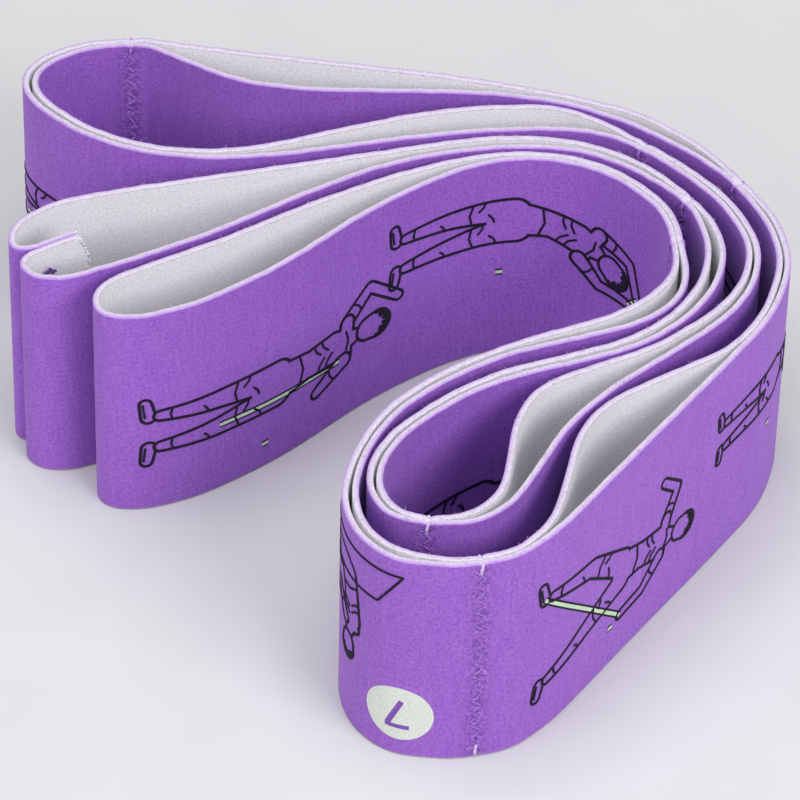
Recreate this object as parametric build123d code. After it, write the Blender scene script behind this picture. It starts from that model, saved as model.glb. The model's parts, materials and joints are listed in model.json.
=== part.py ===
from build123d import *
from math import atan2, cos, degrees, hypot, radians, sin, tan
import os

# Looped stretching strap: elastic webbing sewn into eight numbered loops, coiled on its edge.
#
# Millimetres. +Z is up, along the webbing's width; +X points at the coil's large bend.
# The origin is at the centre of the coil's outline, on the surface that the lower edge stands on.
#
# One band of webbing is closed into a ring by a seam and then flattened, so that two plies lie
# back to back. Seven cross seams join the plies and leave eight loops between them. Loop 8 ends
# in the ring's plain fold, loop 1 in its closing seam. Seen from above, ply A is on the right of
# a person walking from loop 8 to loop 1, and ply B is on the left.

# Webbing
WIDTH = 40.0            # width of the webbing, the height that the strap stands
PLY = 1.0               # thickness of one ply
HALF = PLY / 2
BEND_SHARE = 0.45       # share of the shorter run that each rounded corner may use
END_BEND = 1.0          # reach of the first and last corners, which keeps the seams straight

# Cross seams: zigzag lockstitch through both plies
THREAD = 0.4            # width of the thread
THREAD_PROUD = 0.25     # how far the thread stands off the webbing
THREAD_SLACK = 0.05     # room around the thread in its needle holes
STITCH_STEP = 2.0       # height between needle holes
STITCH_SWING = 0.7      # half the width of the zigzag
STITCH_MARGIN = 2.0     # distance of the first and last needle holes from the webbing's edges
CLOSING_OFFSET = 6.8    # distance of the closing seam from the cut ends of the webbing

# Living hinges beside the seams
HINGE_OFFSET = 2.4      # distance from a seam to the line that the webbing folds on
HINGE_RADIUS = PLY      # half the thickness of both plies together
HINGE_GAP = 0.05        # room around the rounded end
HINGE_RELIEF = 0.75     # distance from the fold line to the end of the fixed side
OPEN_PIVOT_START = 1.6  # distance from seam 3/4 to the end of loop 3
OPEN_PIVOT_GAP = 1.0    # free length of webbing left out where the back fold meets loop 3
CUT_REACH = 12.0        # length that is cleared past an end of a ply
CUT_WIDTH = 6.0         # width that is cleared there

# Lengths that stay straight on each side of a seam
STRAIGHT = 2.0
STRAIGHT_HINGE = 3.6

# Large bend on the right, where the inner two plies are arcs about one centre
BEND_CENTRE = (21.0, 11.0)
BEND_INNER_RADIUS = 21.65
BEND_OUTER_RADIUS = BEND_INNER_RADIUS + 1.05
BEND_STEP = 25
BEND_LEAD = 0.1         # ply B, outside the bend, straightens this much sooner, and ply A later

# Each seam: middle of the two plies, and the direction from loop 8 towards loop 1 in degrees
SEAMS = {
    "7_8": ((43.0, 13.5), -83.5),
    "6_7": ((13.3, -58.6), 13.0),
    "5_6": ((52.9, 27.7), 124.0),
    "4_5": ((-43.5, 59.1), 186.0),
    "3_4": ((38.0, 36.4), -38.0),
    "2_3": ((5.6, -50.4), 176.0),
    "1_2": ((44.9, 23.3), 127.0),
}


def bend_corners(radius, first, last):
    """Corners that a rounded path needs to follow the large bend from one angle to another."""
    reach = radius / cos(radians(BEND_STEP / 2))
    return [
        (BEND_CENTRE[0] + reach * cos(radians(angle)), BEND_CENTRE[1] + reach * sin(radians(angle)))
        for angle in range(first, last - 1, -BEND_STEP)
    ]


# Corners of each ply's centre line between its two ends, from loop 8's fold to the closing seam
FOLD_TIP = (-45.6, -3.4)
LOOP_8_A = [(-45.6, -5.5), (-43.8, -7.4), (-38.8, -7.6), (-30.5, -4.3), (-18.5, 4.6), (-4.0, 19.8)]
LOOP_8_A += bend_corners(BEND_INNER_RADIUS, 128, 28)
LOOP_8_B = [(-45.6, -1.8), (-43.8, 0.8), (-38.2, 4.4), (-26.0, 11.4), (-14.0, 19.9), (0.0, 27.9), (8.5, 31.5)]
LOOP_8_B += bend_corners(BEND_OUTER_RADIUS, 103, 28)
LOOP_7_A = [
    (42.9, 7.0), (39.7, 1.0), (33.0, -4.6), (19.8, -10.3), (7.7, -17.6), (-0.8, -26.1),
    (-5.2, -35.4), (-7.2, -45.5), (-5.0, -53.6), (0.6, -59.2),
]
LOOP_7_B = [
    (44.5, 6.5), (43.3, 0.2), (37.8, -5.5), (27.5, -9.7), (18.2, -12.9), (9.3, -18.5),
    (1.1, -26.0), (-3.7, -34.9), (-5.6, -44.5), (-3.8, -52.6), (1.4, -57.5),
]
LOOP_6_A = [
    (18.9, -57.4), (24.9, -51.4), (36.5, -34.0), (50.5, -13.5), (57.6, -2.5), (60.5, 9.8),
    (58.4, 19.5),
]
LOOP_6_B = [
    (18.8, -56.2), (23.8, -50.3), (25.9, -41.0), (27.6, -31.2), (31.5, -24.3), (41.0, -17.4),
    (50.8, -11.3), (56.3, -2.5), (59.2, 9.8), (57.2, 19.0),
]
LOOP_5_A = [
    (47.5, 36.2), (38.5, 44.0), (28.5, 47.7), (10.0, 52.2), (-12.0, 55.2), (-30.0, 57.7),
]
LOOP_5_B = [
    (45.3, 35.5), (35.8, 42.5), (25.5, 47.0), (13.0, 48.8), (-4.0, 48.5), (-15.5, 48.3),
    (-26.5, 50.1), (-35.5, 55.5),
]
LOOP_4_A = [
    (-50.5, 58.6), (-57.3, 54.9), (-60.4, 49.6), (-58.6, 43.8), (-52.0, 37.3), (-43.0, 32.4),
    (-31.0, 30.5), (-19.0, 31.9), (2.0, 37.2), (15.0, 39.6), (26.0, 40.2), (31.5, 39.4),
]
LOOP_4_B = [
    (-50.3, 57.4), (-56.2, 53.9), (-58.8, 49.2), (-57.2, 44.6), (-51.0, 38.3), (-42.5, 33.7),
    (-32.0, 31.9), (-21.5, 33.5), (-10.5, 38.0), (4.0, 43.2), (14.5, 45.2), (24.5, 45.6),
    (31.0, 42.6),
]
LOOP_3_A = [
    (45.6, 29.0), (51.0, 22.0), (54.6, 12.5), (53.0, 3.8), (48.5, -3.0), (39.0, -11.6),
    (29.5, -16.2), (21.5, -21.0), (18.3, -28.5), (17.3, -38.5), (16.4, -44.0), (12.3, -49.0),
]
LOOP_3_B = [
    (46.3, 29.9), (52.2, 22.4), (55.9, 12.3), (54.4, 3.0), (50.0, -4.3), (40.5, -13.5),
    (33.2, -20.0), (26.0, -28.8), (21.5, -39.0), (18.0, -46.2), (13.0, -50.6),
]
LOOP_2_A = [
    (0.6, -48.6), (-2.0, -43.5), (-1.4, -38.0), (1.5, -32.0), (9.5, -23.8), (17.0, -18.9),
    (26.5, -15.3), (36.5, -11.2), (44.0, -4.8), (49.0, 3.5), (50.4, 12.0), (48.4, 18.9),
]
LOOP_2_B = [
    (-0.4, -49.6), (-3.4, -44.0), (-2.9, -37.6), (0.4, -31.2), (8.0, -23.4), (16.0, -17.7),
    (26.0, -13.9), (35.5, -9.8), (42.2, -4.0), (46.8, 4.0), (48.1, 12.2), (46.6, 18.8),
]
LOOP_1_A = [
    (39.5, 30.6), (31.5, 35.9), (22.0, 37.9), (12.0, 37.1), (-8.0, 31.6), (-44.0, 21.9),
    (-53.0, 18.9), (-58.2, 14.6), (-59.6, 10.6), (-59.0, 7.3),
]
LOOP_1_B = [
    (36.5, 30.9), (29.5, 34.8), (20.5, 35.8), (9.5, 34.3), (-2.5, 30.3), (-14.5, 22.8),
    (-29.0, 12.3), (-43.0, 4.6), (-50.5, 1.0), (-54.9, 1.0), (-57.6, 3.6),
]
CLOSING_END = (-48.6, 11.9)      # cut ends of the webbing, between the two plies
CLOSING_HEADING = 31.5           # direction in which the sewn ends point into loop 1
CLOSING_LENGTH_A = 8.7           # length of each end that is turned into loop 1
CLOSING_LENGTH_B = 10.2


def step(point, heading, along, left=0.0):
    """Point reached by going along a heading and then to the left of it."""
    turn = radians(heading)
    return (
        point[0] + along * cos(turn) - left * sin(turn),
        point[1] + along * sin(turn) + left * cos(turn),
    )


def heading_between(start, end):
    return degrees(atan2(end[1] - start[1], end[0] - start[0]))


def turns(path):
    """Turn in degrees at each inner corner, positive to the left."""
    headings = [heading_between(a, b) for a, b in zip(path, path[1:])]
    return [(b - a + 180) % 360 - 180 for a, b in zip(headings, headings[1:])]


def corner_radii(path):
    """Radius of the centre line at each inner corner, as large as the shorter run allows."""
    runs = [hypot(b[0] - a[0], b[1] - a[1]) for a, b in zip(path, path[1:])]
    reaches = [BEND_SHARE * min(before, after) for before, after in zip(runs, runs[1:])]
    reaches[0] = min(reaches[0], END_BEND)
    reaches[-1] = min(reaches[-1], END_BEND)
    return [reach / abs(tan(radians(turn) / 2)) for reach, turn in zip(reaches, turns(path))]


def side_line(path, left):
    """Line parallel to the rounded path, at a distance to its left."""
    headings = [heading_between(a, b) for a, b in zip(path, path[1:])]
    corners = [step(path[0], headings[0], 0, left)]
    for corner, heading, turn in zip(path[1:-1], headings, turns(path)):
        corners.append(step(corner, heading + turn / 2, 0, left / cos(radians(turn) / 2)))
    corners.append(step(path[-1], headings[-1], 0, left))
    radii = [
        radius - left * (1 if turn > 0 else -1)
        for radius, turn in zip(corner_radii(path), turns(path))
    ]
    return FilletPolyline(*corners, radius=radii)


def band(path):
    """Standing band of webbing, one ply thick, along the rounded path."""
    left = side_line(path, HALF)
    right = side_line(path, -HALF)
    ends = [Line(left @ 0, right @ 0), Line(left @ 1, right @ 1)]
    return extrude(make_face([*left.edges(), *right.edges(), *ends]), WIDTH)


def seam_point(name, along, left=0.0):
    """Point near a seam, along the strap from it and to the left."""
    middle, heading = SEAMS[name]
    return step(middle, heading, along, left)


def standing_block(point, heading, length, width):
    """Block as tall as the webbing, from a point along a heading, centred across it."""
    block = Box(length, width, WIDTH + 2, align=(Align.MIN, Align.CENTER, Align.CENTER))
    return Pos(point[0], point[1], WIDTH / 2) * Rot(0, 0, heading) * block


def standing_rod(point, radius):
    return Pos(point[0], point[1], WIDTH / 2) * Cylinder(radius, WIDTH + 2)


def hinge_side(name, moving):
    """+1 where the moving loop follows the seam on the way to loop 1, -1 where it comes before."""
    return 1 if moving == "after" else -1


def moving_end(ply, name, moving):
    """Round the end of a ply that turns about the fold line beside a seam."""
    side = hinge_side(name, moving)
    axis = seam_point(name, side * HINGE_OFFSET)
    away = SEAMS[name][1] + (180 if side > 0 else 0)
    clear = standing_block(axis, away, CUT_REACH, CUT_WIDTH) - standing_rod(axis, HINGE_RADIUS)
    return ply - clear


def fixed_end(ply, name, moving):
    """Hollow the end of a ply that the moving ply's rounded end turns in."""
    side = hinge_side(name, moving)
    axis = seam_point(name, side * HINGE_OFFSET)
    relief = seam_point(name, side * (HINGE_OFFSET - HINGE_RELIEF))
    away = SEAMS[name][1] + (0 if side > 0 else 180)
    clear = standing_block(relief, away, CUT_REACH, CUT_WIDTH)
    return ply - clear - standing_rod(axis, HINGE_RADIUS + HINGE_GAP)


def needle_heights():
    count = int((WIDTH - 2 * STITCH_MARGIN) / STITCH_STEP) + 1
    return [STITCH_MARGIN + STITCH_STEP * index for index in range(count)]


def needle_points(swing):
    """Needle holes of a row in its own frame: X along the strap, Y through the plies."""
    return [
        Vector(swing if index % 2 else -swing, 0, height)
        for index, height in enumerate(needle_heights())
    ]


def through_legs(swing, size):
    """Straight legs of the thread through both plies."""
    leg = Box(size, 2 * PLY + THREAD_PROUD, size)
    return [Pos(point) * leg for point in needle_points(swing)]


def row_frame(middle, heading):
    return Pos(middle[0], middle[1], 0) * Rot(0, 0, heading)


def thread_row(middle, heading, swing):
    """One continuous row of stitches across the webbing, visible on both outer faces."""
    pieces = through_legs(swing, THREAD)
    points = needle_points(swing)
    for face in (-1, 1):
        for start, end in zip(points, points[1:]):
            strand = Box(THREAD, THREAD_PROUD, (end - start).length + THREAD)
            tilt = degrees(atan2(end.X - start.X, end.Z - start.Z))
            middle_point = (start + end) * 0.5
            offset = face * (PLY + THREAD_PROUD / 2)
            place = Pos(middle_point.X, offset, middle_point.Z) * Rot(0, tilt, 0)
            pieces.append(place * strand)
    row = pieces[0].fuse(*pieces[1:])
    return row_frame(middle, heading) * row


def pierce(ply, middle, heading, swing):
    """Needle holes of a row of stitches."""
    legs = through_legs(swing, THREAD + 2 * THREAD_SLACK)
    return ply - [row_frame(middle, heading) * leg for leg in legs]


def seam_row(name, swing=STITCH_SWING):
    middle, heading = SEAMS[name]
    return middle, heading, swing


def ply_end(name, side, along):
    """End of a ply's centre line on the straight stretch of a seam."""
    return seam_point(name, along, HALF if side == "b" else -HALF)


def between_seams(first, last, corners, side, first_straight=STRAIGHT, last_straight=STRAIGHT):
    """Centre line from the middle of one seam to the middle of the next."""
    return [
        ply_end(first, side, 0),
        ply_end(first, side, first_straight),
        *corners,
        ply_end(last, side, -last_straight),
        ply_end(last, side, 0),
    ]


CLOSING_MIDDLE = step(CLOSING_END, CLOSING_HEADING, -CLOSING_OFFSET)
CLOSING_ROW = (CLOSING_MIDDLE, CLOSING_HEADING, 0.0)


def loop_8(corners, side):
    straight = STRAIGHT_HINGE + (BEND_LEAD if side == "b" else -BEND_LEAD)
    path = [FOLD_TIP, *corners, ply_end("7_8", side, -straight), ply_end("7_8", side, 0)]
    return moving_end(band(path), "7_8", "before")


def loop_7(corners, side):
    path = [
        ply_end("7_8", side, -STRAIGHT_HINGE),
        ply_end("7_8", side, STRAIGHT),
        *corners,
        ply_end("6_7", side, -STRAIGHT_HINGE),
        ply_end("6_7", side, 0),
    ]
    ply = fixed_end(band(path), "7_8", "before")
    ply = pierce(ply, *seam_row("7_8"))
    return moving_end(ply, "6_7", "before")


def loop_6(corners, side):
    path = [
        ply_end("6_7", side, -STRAIGHT_HINGE),
        ply_end("6_7", side, STRAIGHT),
        *corners,
        ply_end("5_6", side, -STRAIGHT),
        ply_end("5_6", side, STRAIGHT_HINGE),
    ]
    ply = fixed_end(band(path), "6_7", "before")
    ply = pierce(ply, *seam_row("6_7"))
    ply = fixed_end(ply, "5_6", "after")
    return pierce(ply, *seam_row("5_6"))


def loop_5(corners, side):
    path = between_seams("5_6", "4_5", corners, side, first_straight=STRAIGHT_HINGE)
    ply = moving_end(band(path), "5_6", "after")
    return pierce(ply, *seam_row("4_5"))


def loop_4(corners, side):
    path = between_seams("4_5", "3_4", corners, side)
    ply = pierce(band(path), *seam_row("4_5"))
    gap_start = seam_point("3_4", -OPEN_PIVOT_START - OPEN_PIVOT_GAP)
    return ply - standing_block(gap_start, SEAMS["3_4"][1], CUT_REACH, CUT_WIDTH)


def loop_3(corners, side):
    path = [
        ply_end("3_4", side, -OPEN_PIVOT_START),
        ply_end("3_4", side, STRAIGHT),
        *corners,
        ply_end("2_3", side, -STRAIGHT),
        ply_end("2_3", side, 0),
    ]
    ply = pierce(band(path), *seam_row("3_4"))
    return pierce(ply, *seam_row("2_3"))


def loop_2(corners, side):
    path = [
        ply_end("2_3", side, 0),
        ply_end("2_3", side, STRAIGHT),
        *corners,
        ply_end("1_2", side, -STRAIGHT),
        ply_end("1_2", side, STRAIGHT_HINGE),
    ]
    ply = pierce(band(path), *seam_row("2_3"))
    ply = fixed_end(ply, "1_2", "after")
    return pierce(ply, *seam_row("1_2"))


def loop_1(corners, side):
    left = HALF if side == "a" else -HALF
    length = CLOSING_LENGTH_A if side == "a" else CLOSING_LENGTH_B
    path = [
        ply_end("1_2", side, 0),
        ply_end("1_2", side, STRAIGHT_HINGE),
        *corners,
        step(CLOSING_END, CLOSING_HEADING, -length, left),
        step(CLOSING_END, CLOSING_HEADING, 0, left),
    ]
    ply = moving_end(band(path), "1_2", "after")
    return pierce(ply, *CLOSING_ROW)


LOOPS = {
    "loop_8": (loop_8, LOOP_8_A, LOOP_8_B),
    "loop_7": (loop_7, LOOP_7_A, LOOP_7_B),
    "loop_6": (loop_6, LOOP_6_A, LOOP_6_B),
    "loop_5": (loop_5, LOOP_5_A, LOOP_5_B),
    "loop_4": (loop_4, LOOP_4_A, LOOP_4_B),
    "loop_3": (loop_3, LOOP_3_A, LOOP_3_B),
    "loop_2": (loop_2, LOOP_2_A, LOOP_2_B),
    "loop_1": (loop_1, LOOP_1_A, LOOP_1_B),
}

os.makedirs("parts", exist_ok=True)
for name, (make_ply, corners_a, corners_b) in LOOPS.items():
    export_step(make_ply(corners_a, "a"), f"parts/{name}_ply_a.step")
    export_step(make_ply(corners_b, "b"), f"parts/{name}_ply_b.step")
for name in SEAMS:
    export_step(thread_row(*seam_row(name)), f"parts/seam_{name}_thread.step")
export_step(thread_row(*CLOSING_ROW), "parts/closing_seam_thread.step")
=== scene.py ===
import json
from itertools import cycle
from math import cos, pi, radians, sin

import bpy
import numpy as np
from mathutils import Matrix, Vector


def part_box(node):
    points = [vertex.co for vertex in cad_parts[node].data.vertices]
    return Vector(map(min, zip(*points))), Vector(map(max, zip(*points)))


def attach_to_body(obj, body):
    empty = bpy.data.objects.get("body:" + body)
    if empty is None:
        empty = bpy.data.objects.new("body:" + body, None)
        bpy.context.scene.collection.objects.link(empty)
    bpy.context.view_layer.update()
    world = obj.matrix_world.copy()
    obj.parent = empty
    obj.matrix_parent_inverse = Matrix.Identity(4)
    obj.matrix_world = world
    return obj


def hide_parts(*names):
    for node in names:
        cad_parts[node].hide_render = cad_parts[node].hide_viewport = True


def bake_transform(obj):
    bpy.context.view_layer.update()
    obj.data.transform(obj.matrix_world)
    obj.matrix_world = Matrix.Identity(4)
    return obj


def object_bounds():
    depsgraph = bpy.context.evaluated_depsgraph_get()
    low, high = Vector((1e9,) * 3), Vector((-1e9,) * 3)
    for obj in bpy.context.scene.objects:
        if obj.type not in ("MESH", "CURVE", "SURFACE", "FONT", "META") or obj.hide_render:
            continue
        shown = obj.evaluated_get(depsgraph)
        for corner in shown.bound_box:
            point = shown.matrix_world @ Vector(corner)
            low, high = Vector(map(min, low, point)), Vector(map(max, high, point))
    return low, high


# Stretching strap of elastic webbing, sewn into eight loops and coiled on its edge. Everything
# is in metres, in the frame of the CAD model, whose plies give every place and length below.

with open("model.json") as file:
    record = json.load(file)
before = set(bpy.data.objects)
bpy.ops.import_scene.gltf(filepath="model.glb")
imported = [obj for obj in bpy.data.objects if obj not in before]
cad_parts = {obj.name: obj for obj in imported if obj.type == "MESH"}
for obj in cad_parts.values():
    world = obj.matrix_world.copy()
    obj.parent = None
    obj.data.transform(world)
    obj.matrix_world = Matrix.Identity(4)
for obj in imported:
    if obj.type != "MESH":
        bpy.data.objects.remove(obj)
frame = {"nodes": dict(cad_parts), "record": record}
cad_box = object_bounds()

MM = 0.001

# ---- sizes

WIDTH = cad_box[1][2] - cad_box[0][2]   # the webbing stands on its edge
HALF = 0.5 * MM                 # half the thickness of a ply
CAP = 0.3 * MM                  # height over which an edge rounds off
CAP_POWER = 0.7                 # below 1, which squares off the edge's round
EDGE_INSET = 0.12 * MM          # the mean edge lies this far inside the full width
NOTCH_DEPTH = 0.3 * MM          # how far a seam draws the edges in
NOTCH_WIDTH = 0.5 * MM
SAMPLE = 0.25 * MM              # spacing of the points that the centre line is worked out with
SMOOTHING = 1.3 * MM            # softens the CAD's straight runs and arcs into one curve
THICKNESS_SPREAD = 0.03         # how far a pair of outline points may be from one thickness apart
END_REACH = (8, 60)             # samples each side of a ply's end over which it doubles back
FLAT = 1e-6                     # faces within this of the top are the flat top face
DECIMALS = 7                    # corners that are alike to this many decimals are one

COLUMN_WIDE = 0.9 * MM          # mesh columns along the webbing
COLUMN_BEND = 0.35 * MM         # where the bend's radius is small
COLUMN_SEAM = 0.25 * MM         # near a seam
COLUMN_COUNTED = 0.1 * MM       # steps in which the columns are counted out
SMALL_RADIUS = 5 * MM
FACE_ROWS = 70                  # mesh rows up each face
CAP_STEPS = 7                   # mesh rows over each edge

SEAM_REACH = 4 * MM             # half the length of webbing that a seam disturbs
PUCKER_REACH = 1.6 * MM         # about how far its creases reach
PUCKER_FADE = 2 * MM            # the puckers are weaker this close to the webbing's edges
GROOVE_DEPTH = 0.16             # depths and heights of the puckers are in millimetres
GROOVE_WIDTH = 0.6 * MM
SWELL_HEIGHT = 0.12
SWELL_FROM_SEAM = 1.7 * MM
SWELL_WIDTH = 0.8 * MM
CREASE_DEPTH = 0.09

STITCH_PITCH = 1.3 * MM
STITCH_SWING = 0.9 * MM
STITCH_MARGIN = 1.6 * MM        # from the webbing's edges to the first and last needle holes
STITCH_WAVE = 5.1 * MM          # height over which a row of stitches wanders
STITCH_DIP = 0.20               # millimetres under the face, at the needle holes
STITCH_RISE = 0.30              # millimetres that a stitch arches up from there
ARCH_POWER = 0.6                # below 1, so that a stitch is flatter than a sine
THREAD_RADIUS = 0.11 * MM
THREAD_END = 2.0 * MM           # length of the thick stitches that lock each end of a row
THREAD_END_RADIUS = 0.26 * MM
THREAD_END_MARGINS = (0.5 * MM, 0.4 * MM)      # from the bottom and the top edge
PALE_ENDS = ("6_7", "2_3")      # seams whose rows end in thick pale stitches
CLOSING_PITCH = 2.2 * MM
CLOSING_DIP = 0.10              # as for the stitches above
CLOSING_RISE = 0.18

KNOT_HEIGHT = 35.4 * MM         # where the closing seam's thread ends in a tuft
KNOT_FROM_SEAM = 0.8 * MM
KNOT_FIBRES = 34
KNOT_TAILS = 6                  # the first fibres of the tuft are longer and point sideways
KNOT_TAIL_LENGTH = (1.2, 2.0)   # lengths and radii of fibres as ranges, in millimetres
KNOT_LENGTH = (0.35, 0.75)
KNOT_RADIUS = 0.11 * MM
FUZZ_PITCH = 0.5 * MM           # mean spacing of the loose fibres on the top edges
FUZZ_LENGTH = (0.2, 0.5)
FUZZ_RADIUS = 0.025 * MM
FRAY_PITCH = 0.16 * MM          # spacing of the yarn ends along the ring's two cut ends
FRAY_LENGTH = (0.5, 0.95)
FRAY_RADIUS = (0.08, 0.15)
FRAY_PURPLE = 1.2 * MM          # height at the top where printed yarn shows among the ends
CUT_SLANT = 3.0 * MM            # the ring's cut ends are longer at the bottom than at the top
CUT_SLANT_DROP = 7.0 * MM       # height over which most of that slant lies
CUT_SLANT_REACH = 8.0 * MM      # length of webbing that the slant is spread over

SEAMS = ["7_8", "6_7", "5_6", "4_5", "3_4", "2_3", "1_2"]      # from loop 8 to loop 1
LOOPS = range(8, 0, -1)


# ---- vectors

def unit(vector):
    return vector / np.linalg.norm(vector)


def unit_rows(vectors):
    return vectors / np.linalg.norm(vectors, axis=-1)[..., None]


def nearest(values, value):
    """Place in an array of the value nearest to one."""
    return int(np.abs(values - value).argmin())


# ---- centre line of the webbing

def top_outline(node):
    """Corners of a ply's flat top face, in order round its edge."""
    mesh = frame["nodes"][node].data
    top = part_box(node)[1].z
    keys = {}
    places = []
    edges = {}
    for face in mesh.polygons:
        corners = [mesh.vertices[index].co for index in face.vertices]
        if min(corner.z for corner in corners) < top - FLAT:
            continue
        loop = []
        for corner in corners:
            key = (round(corner.x, DECIMALS), round(corner.y, DECIMALS))
            if key not in keys:
                keys[key] = len(places)
                places.append((corner.x, corner.y))
            loop.append(keys[key])
        for pair in zip(loop, loop[1:] + loop[:1]):
            edge = frozenset(pair)
            edges[edge] = edges.get(edge, 0) + 1
    beside = {}
    for edge, uses in edges.items():
        if uses == 1:
            first, second = edge
            beside.setdefault(first, []).append(second)
            beside.setdefault(second, []).append(first)
    start = min(beside)
    order = [start, beside[start][0]]
    while order[-1] != start:
        ahead, behind = beside[order[-1]]
        order.append(ahead if ahead != order[-2] else behind)
    return np.array([places[index] for index in order])


def resample(points, count):
    """Evenly spaced points along a polyline."""
    lengths = np.hypot(*np.diff(points, axis=0).T)
    along = np.concatenate([[0], np.cumsum(lengths)])
    wanted = np.linspace(0, along[-1], count)
    return np.stack([np.interp(wanted, along, column) for column in points.T], axis=1)


def length_of(points):
    return float(np.hypot(*np.diff(points, axis=0).T).sum())


def centre_line(node):
    """Middle of a ply seen from above: halfway between its two long sides.

    The outline doubles back on itself most tightly at the ply's two ends, which lie about half
    the outline apart. They split it into the long sides.
    """
    outline = top_outline(node)
    outline = resample(outline, int(length_of(outline) / SAMPLE))[:-1]
    count = len(outline)
    reach = np.arange(*END_REACH)
    index = np.arange(count)[:, None]
    ahead = outline[(index + reach) % count]
    behind = outline[(index - reach) % count]
    doubling = np.linalg.norm(ahead - behind, axis=2).mean(axis=1)
    first = int(doubling.argmin())
    far_from_first = (first + count // 2 + np.arange(-count // 10, count // 10)) % count
    second = int(far_from_first[doubling[far_from_first].argmin()])
    between = (second - first) % count
    one_side = outline[(first + np.arange(between + 1)) % count]
    other_side = outline[(first - np.arange(count - between + 1)) % count]
    apart = np.linalg.norm(one_side[:, None] - other_side[None], axis=2)
    opposite = apart.argmin(axis=1)
    gap = apart.min(axis=1)
    true_gap = np.abs(gap / np.median(gap) - 1) < THICKNESS_SPREAD
    return (one_side[true_gap] + other_side[opposite[true_gap]]) / 2


def middle_of(node):
    """Middle of a node seen from above."""
    low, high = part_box(node)
    return np.array([(low.x + high.x) / 2, (low.y + high.y) / 2])


def seam_place(name):
    return middle_of(f"seam_{name}_thread")


def ply_line(side):
    """Centre line of one ply from loop 8's fold to the closing seam."""
    line = centre_line(f"loop_8_ply_{side}")
    seam = seam_place("7_8")
    if np.linalg.norm(line[0] - seam) < np.linalg.norm(line[-1] - seam):
        line = line[::-1]
    for number in LOOPS[1:]:
        part = centre_line(f"loop_{number}_ply_{side}")
        if np.linalg.norm(part[-1] - line[-1]) < np.linalg.norm(part[0] - line[-1]):
            part = part[::-1]
        line = np.concatenate([line, part])
    return line


def smoothed(points, radius):
    """Gaussian smoothing that keeps the end points where they are."""
    reach = int(4 * radius / SAMPLE)
    weights = np.exp(-0.5 * (np.arange(-reach, reach + 1) * SAMPLE / radius) ** 2)
    weights /= weights.sum()
    before = 2 * points[0] - points[reach:0:-1]
    after = 2 * points[-1] - points[-2:-reach - 2:-1]
    padded = np.concatenate([before, points, after])
    return np.stack([np.convolve(column, weights, "valid") for column in padded.T], axis=1)


line_a = ply_line("a")
line_b = ply_line("b")
# The ring starts at ply A's cut end, goes round loop 8's fold and ends at ply B's cut end.
ring = np.concatenate([line_a[::-1], line_b])
ring = resample(ring, int(length_of(ring) / SAMPLE))
ring = smoothed(ring, SMOOTHING)
ring = resample(ring, int(length_of(ring) / SAMPLE))
RING_LENGTH = length_of(ring)
ring_along = np.linspace(0, RING_LENGTH, len(ring))
ring_tangent = unit_rows(np.gradient(ring, axis=0))
ring_heading = np.unwrap(np.arctan2(ring_tangent[:, 1], ring_tangent[:, 0]))
ring_curvature = np.abs(np.gradient(ring_heading, ring_along))
fold = (line_a[0] + line_b[0]) / 2
fold_along = float(ring_along[np.linalg.norm(ring - fold, axis=1).argmin()])


def along_of(place, side):
    """Distance along the ring at which one ply passes a place."""
    on_side = ring_along < fold_along if side == "a" else ring_along >= fold_along
    distance = np.linalg.norm(ring - place, axis=1)
    return float(ring_along[np.where(on_side, distance, np.inf).argmin()])


seam_along = {(name, side): along_of(seam_place(name), side) for name in SEAMS for side in "ab"}


def loop_span(number, side):
    """The stretch of the ring that is one ply of one loop, as (start, end) with start < end."""
    towards_fold = fold_along if number == 8 else seam_along[f"{number}_{number + 1}", side]
    if number == 1:
        towards_end = 0.0 if side == "a" else RING_LENGTH
    else:
        towards_end = seam_along[f"{number - 1}_{number}", side]
    return tuple(sorted([towards_fold, towards_end]))


# ---- surface of the webbing

def wander(along, wavelength, start=0.0):
    """Smooth uneven wave from -1 to 1."""
    turn = 2 * pi * along / wavelength
    return (np.sin(turn + start) + np.sin(0.618 * turn + 2 * start) + np.sin(1.73 * turn)) / 3


def from_seam(along):
    """Signed distance to the nearest seam."""
    places = np.array(sorted(seam_along.values()))
    gaps = np.asarray(along, float)[..., None] - places
    return np.take_along_axis(gaps, np.abs(gaps).argmin(axis=-1)[..., None], axis=-1)[..., 0]


def notch(along):
    """How far the seams draw the edges in."""
    return NOTCH_DEPTH * np.exp(-(from_seam(along) / NOTCH_WIDTH) ** 2)


def top_edge(along):
    uneven = 0.08 * wander(along, 7 * MM) + 0.04 * wander(along, 2.3 * MM, 1.0)
    return WIDTH - EDGE_INSET + uneven * MM - notch(along)


def bottom_edge(along):
    uneven = 0.06 * wander(along, 8 * MM, 2.0) + 0.04 * wander(along, 2.6 * MM, 0.5)
    return EDGE_INSET + uneven * MM + notch(along)


def pucker(along, height):
    """How far the stitches of a seam draw the printed face in."""
    gap = from_seam(along)
    line = gap + 0.25 * MM * wander(height, STITCH_WAVE)
    beat = 0.6 + 0.4 * np.cos(2 * pi * (height - STITCH_MARGIN) / STITCH_PITCH)
    groove = GROOVE_DEPTH * np.exp(-(line / GROOVE_WIDTH) ** 2) * beat
    swell = -SWELL_HEIGHT * np.exp(-((np.abs(gap) - SWELL_FROM_SEAM) / SWELL_WIDTH) ** 2)
    near = np.exp(-(gap / PUCKER_REACH) ** 2)
    fine = wander(height + 0.9 * np.abs(gap), 1.7 * MM, 0.7)
    coarse = wander(height - 0.7 * gap, 2.6 * MM)
    creases = CREASE_DEPTH * near * (fine + 0.6 * coarse)
    inside = np.clip(np.minimum(height, WIDTH - height) / PUCKER_FADE, 0.25, 1)
    return (groove + swell + creases) * inside * MM


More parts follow.
